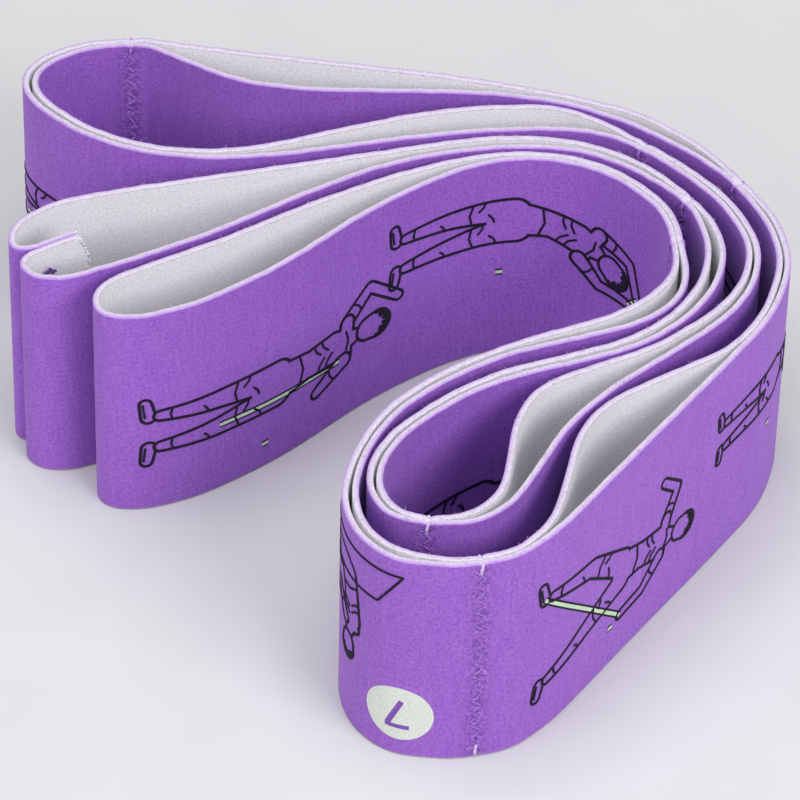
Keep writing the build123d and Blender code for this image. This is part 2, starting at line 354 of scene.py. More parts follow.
def cut_shift(along, height):
    """Extra length of the ring's two cut ends, which are not cut square."""
    depth = CUT_SLANT * (1 - np.exp(-(WIDTH - height) / CUT_SLANT_DROP))
    ragged = 0.25 * MM * wander(height, 3.1 * MM) + 0.12 * MM * wander(height, 0.9 * MM, 2.0)
    start = np.clip(1 - along / CUT_SLANT_REACH, 0, 1)
    end = np.clip(1 - (RING_LENGTH - along) / CUT_SLANT_REACH, 0, 1)
    return (depth + ragged) * (end ** 2 - start ** 2)


def skin(along, height, face, lift=0.0):
    """Points on the webbing: face is 1 on the printed face, -1 on the grey one, 0 in the middle."""
    along, height, face = np.broadcast_arrays(np.asarray(along, float), height, face)
    heading = np.interp(along, ring_along, ring_heading)
    x = np.interp(along, ring_along, ring[:, 0])
    y = np.interp(along, ring_along, ring[:, 1])
    drawn_in = np.where(face > 0, pucker(along, height) * face, 0)
    out = face * HALF - drawn_in + lift * np.sign(face)
    past = cut_shift(along, height)
    x = x - out * np.sin(heading) + past * np.cos(heading)
    y = y + out * np.cos(heading) + past * np.sin(heading)
    return np.stack([x, y, height], axis=-1)


def heading_at(along):
    """Unit vector along the webbing at one place."""
    heading = np.interp(along, ring_along, ring_heading)
    return np.array([np.cos(heading), np.sin(heading), 0.0])


def columns_between(start, end):
    """Places of the mesh columns on a stretch: close together at seams and in tight bends."""
    along = np.linspace(start, end, max(2, int((end - start) / COLUMN_COUNTED)))
    near_seam = np.abs(from_seam(along)) < SEAM_REACH
    tight = np.interp(along, ring_along, ring_curvature) > 1 / SMALL_RADIUS
    spacing = np.where(near_seam, COLUMN_SEAM, np.where(tight, COLUMN_BEND, COLUMN_WIDE))
    reach = np.concatenate([[0], np.cumsum(np.diff(along) / spacing[1:])])
    count = int(np.ceil(reach[-1])) + 1
    return np.interp(np.linspace(0, reach[-1], count), reach, along)


cuts = sorted({0.0, fold_along, RING_LENGTH, *seam_along.values()})
columns = np.concatenate(
    [columns_between(start, end)[:-1] for start, end in zip(cuts, cuts[1:])] + [[RING_LENGTH]]
)


def profile(along):
    """Cross-section of the webbing as (height, face) rows, round from the printed face's bottom."""
    low = bottom_edge(along)[:, None] + CAP
    high = top_edge(along)[:, None] - CAP
    share = np.linspace(0, 1, FACE_ROWS)[None]
    rise = low + (high - low) * share
    swing = np.linspace(0, pi, CAP_STEPS + 2)[1:-1][None]
    bulge = CAP * np.sin(swing) ** CAP_POWER
    level = np.sign(np.cos(swing)) * np.abs(np.cos(swing)) ** CAP_POWER
    heights = [rise, high + bulge, rise[:, ::-1], low - bulge]
    faces = [np.ones_like(rise), level + 0 * high, -np.ones_like(rise), -level + 0 * low]
    return np.concatenate(heights, axis=1), np.concatenate(faces, axis=1)


heights, faces = profile(columns)
ROUND = heights.shape[1]
grid = skin(columns[:, None], heights, faces)
across = np.roll(grid, -1, axis=1) - np.roll(grid, 1, axis=1)
forward = np.gradient(grid, axis=0)
normals = unit_rows(np.cross(across, forward))


# ---- materials

def srgb(red, green, blue):
    """Linear colour of an sRGB colour given from 0 to 255."""
    linear = []
    for value in (red, green, blue):
        value /= 255
        linear.append(value / 12.92 if value <= 0.04045 else ((value + 0.055) / 1.055) ** 2.4)
    return (*linear, 1.0)


class Shader:
    """A small helper that adds nodes to one material and links them."""

    def __init__(self, name, roughness, sheen=0.0):
        self.material = bpy.data.materials.new(name)
        self.material.use_nodes = True
        self.tree = self.material.node_tree
        self.surface = self.tree.nodes["Principled BSDF"]
        self.surface.inputs["Roughness"].default_value = roughness
        self.surface.inputs["Sheen Weight"].default_value = sheen
        self.surface.inputs["Specular IOR Level"].default_value = 0.25

    def node(self, kind, values=None, **settings):
        node = self.tree.nodes.new(kind)
        for key, value in settings.items():
            setattr(node, key, value)
        for key, value in (values or {}).items():
            if isinstance(value, bpy.types.NodeSocket):
                self.tree.links.new(value, node.inputs[key])
            else:
                node.inputs[key].default_value = value
        return node

    def math(self, operation, first, second=0.0):
        return self.node("ShaderNodeMath", {0: first, 1: second}, operation=operation).outputs[0]

    def times(self, first, second):
        return self.math("MULTIPLY", first, second)

    def plus(self, first, second):
        return self.math("ADD", first, second)

    def part(self, vector, index):
        return self.node("ShaderNodeSeparateXYZ", {0: vector}).outputs[index]

    def place(self, uv_map, first_scale=1.0, second_scale=1.0):
        """One of the webbing's UV maps in millimetres, with its two directions scaled.

        "weave" runs along the webbing and up it, "seam" runs from the nearest seam and up the
        webbing, and "edge" runs along the webbing and across its thickness.
        """
        uv = self.node("ShaderNodeUVMap", uv_map=uv_map).outputs[0]
        scale = (first_scale / MM, second_scale / MM, 1)
        return self.node("ShaderNodeMapping", {"Vector": uv, "Scale": scale}).outputs[0]

    def noise(self, place, scale, detail=2.0, distortion=0.0):
        values = {"Vector": place, "Scale": scale, "Detail": detail, "Distortion": distortion}
        return self.node("ShaderNodeTexNoise", values).outputs["Fac"]

    def ramp(self, value, low, high):
        values = {"Value": value, "From Min": low, "From Max": high}
        return self.node("ShaderNodeMapRange", values).outputs[0]

    def mix(self, share, first, second):
        """Colour between two others; 6, 7 and 2 are the mix node's colour sockets."""
        return self.node("ShaderNodeMix", {0: share, 6: first, 7: second}, data_type="RGBA").outputs[2]

    def tinted(self, body, mask, strength, colour):
        """The body colour with another one mixed in where a mask is high."""
        return self.mix(self.times(mask, strength), body, colour)

    def colour(self, socket):
        self.tree.links.new(socket, self.surface.inputs["Base Color"])

    def bump(self, height, depth):
        values = {"Height": height, "Distance": depth, "Strength": 1.0}
        bump = self.node("ShaderNodeBump", values)
        self.tree.links.new(bump.outputs[0], self.surface.inputs["Normal"])


def from_edge(shader, ragged):
    """Distance in millimetres from the nearer edge of the webbing, made uneven."""
    height = shader.part(shader.place("weave"), 1)
    nearer = shader.math("MINIMUM", height, shader.math("SUBTRACT", WIDTH / MM, height))
    return shader.math("SUBTRACT", nearer, ragged)


def knit(shader, rib_pitch, row_pitch):
    """Height field of the knitted surface: ribs up the webbing crossed by fine rows."""
    place = shader.place("weave")
    sway = shader.noise(place, 1.3)
    along = shader.plus(shader.part(place, 0), shader.times(sway, 0.8))
    rise = shader.plus(shader.part(place, 1), shader.times(sway, 0.5))
    rib = shader.math("SINE", shader.times(along, 2 * pi / rib_pitch))
    row = shader.math("SINE", shader.times(rise, 2 * pi / row_pitch))
    cell = shader.times(rib, row)
    return shader.plus(shader.times(rib, 0.1), shader.times(cell, 0.2))


def stitched_zone(shader):
    """Strength of a seam's puckers at a place, and a wrinkle pattern to draw them with, as bumps and
    as painted shade and highlight.
    """
    place = shader.place("seam")
    gap = shader.math("ABSOLUTE", shader.part(place, 0))
    uneven = shader.times(shader.noise(place, 0.9), 1.6)
    near = shader.ramp(shader.plus(gap, uneven), 3.2, 1.4)
    return near, shader.noise(place, 1.5, distortion=1.4)


def printed_face():
    shader = Shader("webbing_printed_face", 0.85, sheen=0.12)
    fine = shader.noise(shader.place("weave", 1.0, 0.8), 2.3, 3.0)
    streak = shader.noise(shader.place("weave", 1.0, 0.12), 1.6)
    broad = shader.noise(shader.place("weave", 0.3, 0.1), 0.6)
    body = shader.mix(shader.ramp(fine, 0.3, 0.7), PURPLE_DARK, PURPLE_LIGHT)
    body = shader.tinted(body, shader.ramp(streak, 0.4, 0.7), 0.3, PURPLE_STREAK)
    body = shader.tinted(body, shader.ramp(broad, 0.3, 0.7), 0.3, PURPLE_BROAD)
    near, wrinkle = stitched_zone(shader)
    # Painted shade in the puckers' dimples and painted highlight on their raised creases, from the
    # same wrinkle pattern as the bump
    painted_dimple_shade = shader.times(near, shader.ramp(wrinkle, 0.5, 0.36))
    body = shader.tinted(body, painted_dimple_shade, 0.75, PURPLE_PAINTED_SHADE)
    painted_crease_highlight = shader.times(near, shader.ramp(wrinkle, 0.56, 0.7))
    body = shader.tinted(body, painted_crease_highlight, 0.7, PURPLE_PAINTED_HIGHLIGHT)
    place = shader.place("weave")
    ragged = shader.times(shader.noise(place, 2.4, 3.0), 0.5)
    ragged = shader.plus(ragged, shader.times(shader.noise(place, 0.12), 0.3))
    border = shader.ramp(from_edge(shader, ragged), 0.0, -0.35)
    shader.colour(shader.mix(border, body, EDGE_LILAC))
    grain = shader.plus(knit(shader, 0.5, 0.45), shader.times(fine, 1.4))
    crumple = shader.times(shader.times(near, wrinkle), 9.0)
    shader.bump(shader.plus(grain, crumple), 0.06 * MM)
    return shader.material


def grey_face():
    shader = Shader("webbing_grey_face", 0.9, sheen=0.15)
    fine = shader.noise(shader.place("weave", 0.8, 1.0), 2.8, 4.0)
    streak = shader.noise(shader.place("weave", 0.05, 1.2), 1.1)
    body = shader.mix(shader.ramp(fine, 0.35, 0.62), GREY_DARK, GREY_LIGHT)
    body = shader.tinted(body, shader.ramp(streak, 0.35, 0.65), 0.5, GREY_STREAK)
    ragged = shader.times(shader.noise(shader.place("weave"), 2.5), 0.8)
    border = shader.ramp(from_edge(shader, ragged), 0.15, -0.2)
    shader.colour(shader.mix(border, body, EDGE_LILAC))
    shader.bump(shader.plus(knit(shader, 0.55, 0.45), fine), 0.06 * MM)
    return shader.material


def selvedge():
    """The webbing's edge: pale yarn, dyed where it meets the printed face."""
    shader = Shader("webbing_selvedge", 0.95, sheen=0.15)
    place = shader.place("edge")
    fine = shader.noise(place, 3.4, 3.0)
    coarse = shader.noise(place, 1.0)
    unevenly = shader.plus(shader.part(place, 1), shader.times(fine, 0.5))
    body = shader.mix(shader.ramp(unevenly, 0.0, 0.7), EDGE_WHITE, EDGE_LILAC)
    body = shader.tinted(body, shader.ramp(coarse, 0.4, 0.7), 0.5, EDGE_GREY)
    body = shader.tinted(body, shader.ramp(fine, 0.52, 0.72), 0.6, EDGE_DARK)
    dyed = shader.plus(unevenly, shader.times(coarse, 0.5))
    body = shader.tinted(body, shader.ramp(dyed, 0.65, 1.0), 0.75, PURPLE_STREAK)
    shader.colour(body)
    shader.bump(fine, 0.16 * MM)
    return shader.material


def plain_fibre(name, colour, colour_dark, roughness, sheen):
    """Thread, ink and other small things: one colour, broken up by a fine noise."""
    shader = Shader(name, roughness, sheen=sheen)
    place = shader.node("ShaderNodeTexCoord").outputs["Object"]
    fine = shader.noise(place, 2600.0, 2.0)
    shader.colour(shader.mix(shader.ramp(fine, 0.3, 0.7), colour_dark, colour))
    shader.bump(fine, 0.03 * MM)
    return shader.material


PURPLE_LIGHT = srgb(164, 108, 208)
PURPLE_DARK = srgb(130, 74, 178)
PURPLE_STREAK = srgb(172, 120, 214)
PURPLE_BROAD = srgb(140, 84, 188)
# Painted shade and painted highlight for the seams' puckers
PURPLE_PAINTED_SHADE = srgb(102, 46, 152)
PURPLE_PAINTED_HIGHLIGHT = srgb(190, 140, 228)
GREY_LIGHT = srgb(240, 238, 243)
GREY_DARK = srgb(214, 211, 219)
GREY_STREAK = srgb(226, 223, 230)
EDGE_LILAC = srgb(186, 158, 206)
EDGE_WHITE = srgb(206, 199, 214)
EDGE_GREY = srgb(190, 184, 198)
EDGE_DARK = srgb(160, 140, 180)
PRINTED = printed_face()
GREY = grey_face()
EDGE = selvedge()
FIBRE_PALE = plain_fibre("fibre_pale", srgb(236, 233, 240), srgb(216, 210, 224), 0.9, 0.25)
FIBRE_FUZZ = plain_fibre("fibre_fuzz", srgb(206, 192, 218), srgb(178, 154, 198), 0.9, 0.2)
FIBRE_PURPLE = plain_fibre("fibre_purple", srgb(124, 74, 168), srgb(84, 44, 128), 0.8, 0.2)
THREAD_PALE = plain_fibre("sewing_thread_pale", srgb(214, 192, 230), srgb(188, 158, 212), 0.6, 0.2)
THREAD = plain_fibre("sewing_thread", srgb(176, 128, 212), srgb(140, 88, 184), 0.6, 0.2)
BLACK_INK = plain_fibre("ink_black", srgb(16, 10, 22), srgb(34, 24, 46), 0.8, 0.0)
GREEN_INK = plain_fibre("ink_pale_green", srgb(206, 226, 196), srgb(176, 204, 168), 0.6, 0.05)
BADGE_INK = plain_fibre("ink_badge", srgb(222, 226, 218), srgb(204, 208, 200), 0.6, 0.05)
NUMBER_INK = plain_fibre("ink_number", srgb(132, 84, 178), srgb(112, 66, 160), 0.6, 0.05)


# ---- making and attaching meshes

def new_piece(name, vertices, polygons, materials, slots=None, smooth=True):
    """A mesh object; slots holds each polygon's material as its place in materials."""
    mesh = bpy.data.meshes.new(name)
    mesh.from_pydata([tuple(vertex) for vertex in vertices], [], polygons)
    for material in materials:
        mesh.materials.append(material)
    if slots:
        mesh.polygons.foreach_set("material_index", slots)
    mesh.polygons.foreach_set("use_smooth", [smooth] * len(mesh.polygons))
    piece = bpy.data.objects.new(name, mesh)
    bpy.context.scene.collection.objects.link(piece)
    return piece


def joined_piece(name, parts, smooth=True):
    """One piece from (shape, material) pairs; a shape is its vertices and its polygons."""
    vertices = []
    polygons = []
    materials = []
    slots = []
    for (part_vertices, part_polygons), material in parts:
        if material not in materials:
            materials.append(material)
        offset = len(vertices)
        vertices.extend(part_vertices)
        polygons.extend(tuple(offset + index for index in polygon) for polygon in part_polygons)
        slots += [materials.index(material)] * len(part_polygons)
    return new_piece(name, vertices, polygons, materials, slots, smooth)


def quad_strip(here, there, sides):
    """Quads between two closed rows of vertices, from the number of each row's first vertex."""
    after = [(step + 1) % sides for step in range(sides)]
    return [(here + k, here + after[k], there + after[k], there + k) for k in range(sides)]


bodies = {
    node: body for body, nodes in frame["record"]["behaviour"]["bodies"].items() for node in nodes
}
# Loops whose webbing bends beside a seam: the body before the bend, the seam, and the bend's length
BENDS = {
    8: ("front_run", "7_8", 5 * MM),
    7: ("nest", "6_7", 5 * MM),
    5: ("nest", "5_6", 5 * MM),
    4: ("nest", "3_4", 24 * MM),
    1: ("nest", "1_2", 5 * MM),
}


def attach(piece, number):
    """Make a piece on a loop move with it; on a loop that bends beside a seam, only bake its place
    into its mesh.
    """
    body = bodies[f"loop_{number}_ply_a"]
    if number not in BENDS:
        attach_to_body(piece, body)
        return
    fixed, seam, length = BENDS[number]
    start, end = loop_span(number, "b")
    near = seam_along[seam, "b"]
    far = start if abs(end - near) < abs(start - near) else end
    index = nearest(ring_along, near)
    whole = ring[nearest(ring_along, far)] - ring[index]
    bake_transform(piece)


def add_map(mesh, name, corners, first, second):
    """A UV map from two values at each vertex, given the vertex of each face corner."""
    layer = mesh.uv_layers.new(name=name)
    values = np.stack([first, second], axis=1)[corners]
    layer.data.foreach_set("uv", values.astype(np.float32).ravel())


def webbing_piece(number, side):
    start, end = loop_span(number, side)
    first = nearest(columns, start)
    last = nearest(columns, end)
    here = slice(first, last + 1)
    count = last - first + 1
    polygons = []
    for column in range(count - 1):
        polygons += quad_strip(column * ROUND, (column + 1) * ROUND, ROUND)
    polygons.append(tuple(reversed(range(ROUND))))
    polygons.append(tuple((count - 1) * ROUND + row for row in range(ROUND)))
    # Round one column: the printed face, the top edge, the grey face and the bottom edge
    face = FACE_ROWS - 1
    edge = CAP_STEPS + 1
    slots = (([0] * face + [2] * edge) + ([1] * face + [2] * edge)) * (count - 1) + [2, 2]
    name = f"webbing_loop_{number}_{side}"
    piece = new_piece(name, grid[here].reshape(-1, 3), polygons, [PRINTED, GREY, EDGE], slots)
    mesh = piece.data
    corners = np.zeros(len(mesh.loops), int)
    mesh.loops.foreach_get("vertex_index", corners)
    along = np.repeat(columns[here], ROUND)
    height = heights[here].ravel()
    add_map(mesh, "weave", corners, along, height)
    add_map(mesh, "seam", corners, from_seam(along), height)
    add_map(mesh, "edge", corners, along, faces[here].ravel() * HALF)
    corner_normals = normals[here].reshape(-1, 3)[corners]
    corner_normals[-2 * ROUND:-ROUND] = -heading_at(columns[first])
    corner_normals[-ROUND:] = heading_at(columns[last])
    mesh.normals_split_custom_set(corner_normals)
    node = f"loop_{number}_ply_{side}"
    attach(piece, number)
    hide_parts(node)


for number in LOOPS:
    for side in "ab":
        webbing_piece(number, side)


# ---- stitches

ASKEW = (0.31, 0.52, 0.79)      # a direction that no tube starts in


def tube(path, radius, sides=6):
    """Vertices and faces of a closed round tube along a path."""
    path = np.asarray(path, float)
    tangents = unit_rows(np.gradient(path, axis=0))
    normal = np.cross(tangents[0], ASKEW)
    vertices = []
    for point, tangent in zip(path, tangents):
        normal = unit(normal - tangent * (normal @ tangent))
        other = np.cross(tangent, normal)
        for step in range(sides):
            angle = 2 * pi * step / sides
            vertices.append(point + radius * (normal * cos(angle) + other * sin(angle)))
    polygons = []
    for station in range(len(path) - 1):
        polygons += quad_strip(station * sides, (station + 1) * sides, sides)
    polygons.append(tuple(reversed(range(sides))))
    polygons.append(tuple(range((len(path) - 1) * sides, len(path) * sides)))
    return vertices, polygons


def stitch_row(along):
    """Zigzag of thread on the printed face: each stitch arches up and dips at its needle holes."""
    holes = np.arange(STITCH_MARGIN, WIDTH - STITCH_MARGIN + 0.1 * MM, STITCH_PITCH)
    numbers = np.arange(len(holes))
    steps = 8
    share = np.arange(len(holes) * steps - steps + 1) / steps
    height = np.interp(share, numbers, holes)
    zigzag = np.interp(share, numbers, STITCH_SWING * (-1.0) ** numbers)
    arch = np.abs(np.sin(pi * share)) ** ARCH_POWER
    lift = (-STITCH_DIP + STITCH_RISE * arch + 0.04 * wander(height, 6 * MM)) * MM
    uneven = zigzag * (0.8 + 0.3 * wander(height, 9 * MM))
    return skin(along + (uneven + 0.2 * MM * wander(height, STITCH_WAVE)), height, 1.0, lift)


def lock_stitch(along, start, end):
    """Thick straight stitch that ends a row, a little proud of the face."""
    share = np.linspace(0, 1, 16)
    height = start + (end - start) * share
    lift = (-0.10 + 0.26 * np.sin(pi * share) ** 0.5) * MM
    return skin(along + 0.1 * MM * np.sin(5 * share), height, 1.0, lift)


def seam_stitches(name):
    """A seam's rows of zigzag on both plies, each locked at both ends."""
    lock_thread = THREAD_PALE if name in PALE_ENDS else THREAD
    low, high = THREAD_END_MARGINS
    rows = []
    ends = []
    for side in "ab":
        along = seam_along[name, side]
        rows.append((tube(stitch_row(along), THREAD_RADIUS), THREAD))
        for start in (low, WIDTH - high - THREAD_END):
            path = lock_stitch(along, start, start + THREAD_END)
            ends.append((tube(path, THREAD_END_RADIUS), lock_thread))
    node = f"seam_{name}_thread"
    piece = joined_piece(f"stitches_{name}", rows + ends)
    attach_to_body(piece, bodies[node])
    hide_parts(node)


for name in SEAMS:
    seam_stitches(name)

random = np.random.default_rng(7)


def fibre(start, direction, length, radius):
    """One short curved fibre."""
    share = np.linspace(0, 1, 5)[:, None]
    bow = random.normal(0, 0.25, 3) * length
    path = start + unit(direction) * length * share + bow * share ** 2
    return tube(path, radius, sides=4)


def cut_end_fibres(side):
    """Loose ends of yarn along one cut end of the ring: elastic yarn and a few purple ones."""
    along, outward = (0.0, -1) if side == "a" else (RING_LENGTH, 1)
    out = outward * heading_at(along)
    pale = []
    purple = []
    for height in np.arange(0.4 * MM, WIDTH - 0.2 * MM, FRAY_PITCH):
        height = min(max(height + random.normal(0, 0.15) * MM, 0.3 * MM), WIDTH - 0.3 * MM)
        face = random.uniform(-1.0, 0.7)
        start = skin(along - outward * 0.4 * MM, height, face).reshape(3)
        direction = out + random.normal(0, 0.35, 3)
        length = random.uniform(*FRAY_LENGTH) * MM
        strand = fibre(start, direction, length, random.uniform(*FRAY_RADIUS) * MM)
        if height > WIDTH - FRAY_PURPLE and face > 0.55:
            purple.append(strand)
        else:
            pale.append(strand)
    return pale, purple


def edge_fuzz(number):
    """Fine loose fibres along the top edges of one loop."""
    strands = []
    for side in "ab":
        start, end = loop_span(number, side)
        count = int((end - start) / FUZZ_PITCH)
        along = random.uniform(start + MM, end - MM, count)
        face = random.uniform(-0.9, 0.9, count)
        roots = skin(along, top_edge(along) - 0.08 * MM, face)
        for root in roots:
            direction = np.array([*random.normal(0, 0.6, 2), 0.7])
            strand = fibre(root, direction, random.uniform(*FUZZ_LENGTH) * MM, FUZZ_RADIUS)
            strands.append((strand, FIBRE_FUZZ))
    piece = joined_piece(f"fuzz_loop_{number}", strands)
    attach(piece, number)


def knot_fibres(along):
    """A tuft of loose thread where the closing seam ends, with a few longer tails."""
    knot = skin(along, KNOT_HEIGHT, -1.0, 0.05 * MM).reshape(3)
    inward = unit(skin(along, KNOT_HEIGHT, -1.0, 1 * MM).reshape(3) - knot)
    sideways = -heading_at(along)
    strands = []
    for index in range(KNOT_FIBRES):
        if index < KNOT_TAILS:
            direction = sideways + random.normal(0, 0.2, 3)
            lengths = KNOT_TAIL_LENGTH
        else:
            direction = inward + random.normal(0, 1.0, 3)
            lengths = KNOT_LENGTH
        length = random.uniform(*lengths) * MM
        strands.append(fibre(knot + inward * 0.2 * MM, direction, length, KNOT_RADIUS))
    return strands


def closing_stitches():
    """The seam that closes the ring, printed face to printed face, and its loose ends."""
    node = "closing_seam_thread"
    place = middle_of(node)
    pale = []
    frayed = []
    purple = []
    height = np.arange(STITCH_MARGIN, WIDTH - STITCH_MARGIN, 0.3 * MM)
    arch = np.abs(np.sin(pi * height / CLOSING_PITCH)) ** ARCH_POWER
    lift = (CLOSING_RISE * arch - CLOSING_DIP) * MM
    for side in "ab":
        along = along_of(place, side) + 0.1 * MM * wander(height, 5 * MM)
        pale.append(tube(skin(along, height, -1.0, lift), THREAD_RADIUS))
        pale_ends, purple_ends = cut_end_fibres(side)
        frayed += pale_ends
        purple += purple_ends
    purple += knot_fibres(along_of(place, "b") + KNOT_FROM_SEAM)
    parts = [(shape, FIBRE_PALE) for shape in pale + frayed]
    parts += [(shape, FIBRE_PURPLE) for shape in purple]
    piece = joined_piece("stitches_closing", parts)
    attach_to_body(piece, bodies[node])
    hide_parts(node)


# The closing seam draws its random numbers first, then the loops from 8 to 1.
closing_stitches()
for number in LOOPS:
    edge_fuzz(number)


# ---- printed badges and figures

def ink_line(points, width, layer):
    """Flat line of ink on a printed face; points are (along, height), and layer raises it."""
    points = np.asarray(points, float)
    ahead = np.gradient(points, axis=0)
    length = np.linalg.norm(ahead, axis=1)
    points = points[length > 0]
    ahead = ahead[length > 0] / length[length > 0][:, None]
    side = np.stack([-ahead[:, 1], ahead[:, 0]], axis=1) * width / 2
    top = INK_LIFT + layer * INK_LAYER
    corners = []
    for sign, lift in ((1, top), (-1, top), (-1, -INK_DEPTH), (1, -INK_DEPTH)):
        place = points + sign * side
        corners.append(skin(place[:, 0], place[:, 1], 1.0, lift))
    vertices = np.stack(corners, axis=1).reshape(-1, 3)
    polygons = []
    for station in range(len(points) - 1):
        polygons += quad_strip(4 * station, 4 * station + 4, 4)
    last = 4 * len(points) - 4
    polygons.append((3, 2, 1, 0))
    polygons.append((last, last + 1, last + 2, last + 3))
    return list(vertices), polygons


def ink_disc(centre, radius, layer):
    """Round patch of ink, in rings so that it follows the webbing's bend."""
    rings = 9
    steps = 48
    turn = np.arange(steps) * 2 * pi / steps
    vertices = [skin(centre[0], centre[1], 1.0, INK_LIFT + layer * INK_LAYER).reshape(3)]
    for ring_number in range(1, rings + 2):
        reach = radius * min(ring_number, rings) / rings
        lift = INK_LIFT + layer * INK_LAYER if ring_number <= rings else -INK_DEPTH
        place = skin(centre[0] + reach * np.cos(turn), centre[1] + reach * np.sin(turn), 1.0, lift)
        vertices.extend(place)
    vertices.append(skin(centre[0], centre[1], 1.0, -INK_DEPTH).reshape(3))
    polygons = []
    for step in range(steps):
        after = (step + 1) % steps
        polygons.append((0, 1 + after, 1 + step))
        for ring_number in range(rings):
            here = 1 + ring_number * steps
            there = here + steps
            polygons.append((here + step, here + after, there + after, there + step))
        rim = 1 + rings * steps
        polygons.append((rim + step, rim + after, len(vertices) - 1))
    return vertices, polygons


def along_path(points, spacing=0.4):
    """The same polyline with more points on it, in millimetres."""
    points = np.asarray(points, float)
    return resample(points, max(2, int(length_of(points) / spacing) + 1))


def arc(centre, radius, start, end):
    """Points on an arc; angles in degrees from the figure's right, anticlockwise."""
    count = max(4, int(abs(end - start) * radius / 20) + 2)
    turn = np.radians(np.linspace(start, end, count))
    return np.stack([centre[0] + radius * np.cos(turn), centre[1] + radius * np.sin(turn)], 1)


DIGITS = {
    1: [[(-1.0, 1.8), (0.3, 2.7), (0.3, -2.7)]],
    2: [[*arc((0, 1.1), 1.6, 160, -40), (-1.6, -2.6), (1.8, -2.6)]],
    3: [[*arc((0, 1.25), 1.4, 150, -80)], [*arc((0, -1.2), 1.6, 80, -150)]],
    4: [[(0.8, -2.7), (0.8, 2.7), (-1.9, -1.0), (1.9, -1.0)]],
    5: [[(1.6, 2.6), (-1.2, 2.6), (-1.4, 0.2), *arc((-0.1, -0.9), 1.7, 110, -150)]],
    6: [[(1.2, 2.5), (-0.6, 1.0), *arc((0, -1.1), 1.6, 150, 510)]],
    7: [[(-1.7, 2.6), (1.7, 2.6), (-0.5, -2.7)]],
    8: [[*arc((0, 1.3), 1.3, -90, 270)], [*arc((0, -1.2), 1.6, 90, 450)]],
}


def chain(joints, *names):
    """Limbs through named joints of a figure, each as its two joints (right, up, radius)."""
    places = [np.array(joints[name], float) for name in names]
    return list(zip(places, places[1:]))


def both_sides(joints, *names):
    """The left and the right chain through joints that come in pairs."""
    return [chain(joints, *(f"{name}_{side}" for name in names)) for side in "lr"]


def limb_outline(first, second):
    """Outline of a limb that narrows from one end to the other."""
    span = second - first
    facing = np.degrees(np.arctan2(span[1], span[0]))
    narrowing = (first[2] - second[2]) / np.linalg.norm(span[:2])
    lean = np.degrees(np.arccos(np.clip(narrowing, -1, 1)))
    tip = arc(second, second[2], facing - lean, facing + lean)
    root = arc(first, first[2], facing + lean, facing + 360 - lean)
    return along_path(np.concatenate([tip, root, tip[:1]]), 0.2)


def inside_limb(points, first, second):
    line = (second - first)[:2]
    share = np.clip((points - first[:2]) @ line / (line @ line), 0, 1)[:, None]
    radius = first[2] + (second[2] - first[2]) * share[:, 0]
    return np.linalg.norm(points - first[:2] - line * share, axis=1) < radius - HIDDEN_DEPTH


def figure_lines(pose):
    """Outline drawing of a plain figure with a blank head: thick and thin lines in millimetres."""
    joints = FIGURES[pose]
    trunk = chain(joints, "pelvis", "waist", "chest", "neck")
    trunk += chain(joints, "shoulder_l", "shoulder_r") + chain(joints, "hip_l", "hip_r")
    legs = both_sides(joints, "hip", "knee", "ankle")
    feet = both_sides(joints, "heel", "toe")
    arms = both_sides(joints, "shoulder", "elbow", "hand")
    sleeves = [[hem(*upper, 0.45)] for upper, _ in arms]
    soles = [[sole(*foot)] for (foot,) in feet]
    lower_trunk, upper_trunk, neck = trunk[:3]
    folds = [hem(*lower_trunk, 0.6)]
    for thigh, shin in legs:
        folds.append(hem(*thigh, 0.7))
        folds.append(hem(*shin, 0.8))
        folds.append(crease(*thigh, 0.32, 1))
        folds.append(crease(*thigh, 0.5, -1))
        folds.append(crease(*shin, 0.2, 1))
    for share in (0.25, 0.55):
        folds.append(crease(*upper_trunk, share, 1))
        folds.append(crease(*upper_trunk, share + 0.15, -1))
    folds.append(hem(*neck, 0.55))
    # From the back to the front; what is behind is hidden by the parts in front of it.
    groups = [
        (feet[0], soles[0]),
        (feet[1], soles[1]),
        (arms[0], sleeves[0]),
        (trunk + legs[0] + legs[1], folds),
        (chain(joints, "head", "crown"), []),
        (arms[1], sleeves[1]),
    ]
    thick = []
    thin = []
    for number, (limbs, details) in enumerate(groups):
        in_front = [limb for later, _ in groups[number + 1:] for limb in later]
        for limb in limbs:
            others = [other for other in limbs if other is not limb] + in_front
            outline = limb_outline(*limb)
            thick.extend(visible_runs(outline, hidden_by(others, outline)))
        for line in details:
            if not hidden_by(in_front, line).any():
                thin.append(line)
    return thick, thin


def hidden_by(limbs, points):
    hidden = np.zeros(len(points), bool)
    for limb in limbs:
        hidden |= inside_limb(points, *limb)
    return hidden


def visible_runs(outline, hidden):
    """Stretches of an outline that nothing hides."""
    if not hidden.any():
        return [outline]
    start = int(np.argmax(hidden))
    outline = np.roll(outline[:-1], -start, axis=0)
    hidden = np.roll(hidden[:-1], -start)
    edges = np.flatnonzero(np.diff(hidden.astype(int), append=1))
    runs = [outline[first:last + 2] for first, last in zip(edges[::2], edges[1::2])]
    return [run for run in runs if len(run) > 3]


def directions(first, second):
    """Unit vectors along a limb and to its left."""
    ahead = unit((second - first)[:2])
    return ahead, np.array([-ahead[1], ahead[0]])


def hem(first, second, share):
    """Bowed line right across a limb, where a piece of clothing ends."""
    middle = first + (second - first) * share
    ahead, left = directions(first, second)
    side = left * middle[2] * 0.95
    bow = ahead * middle[2] * 0.25
    return along_path([middle[:2] - side, middle[:2] + bow, middle[:2] + side], 0.3)


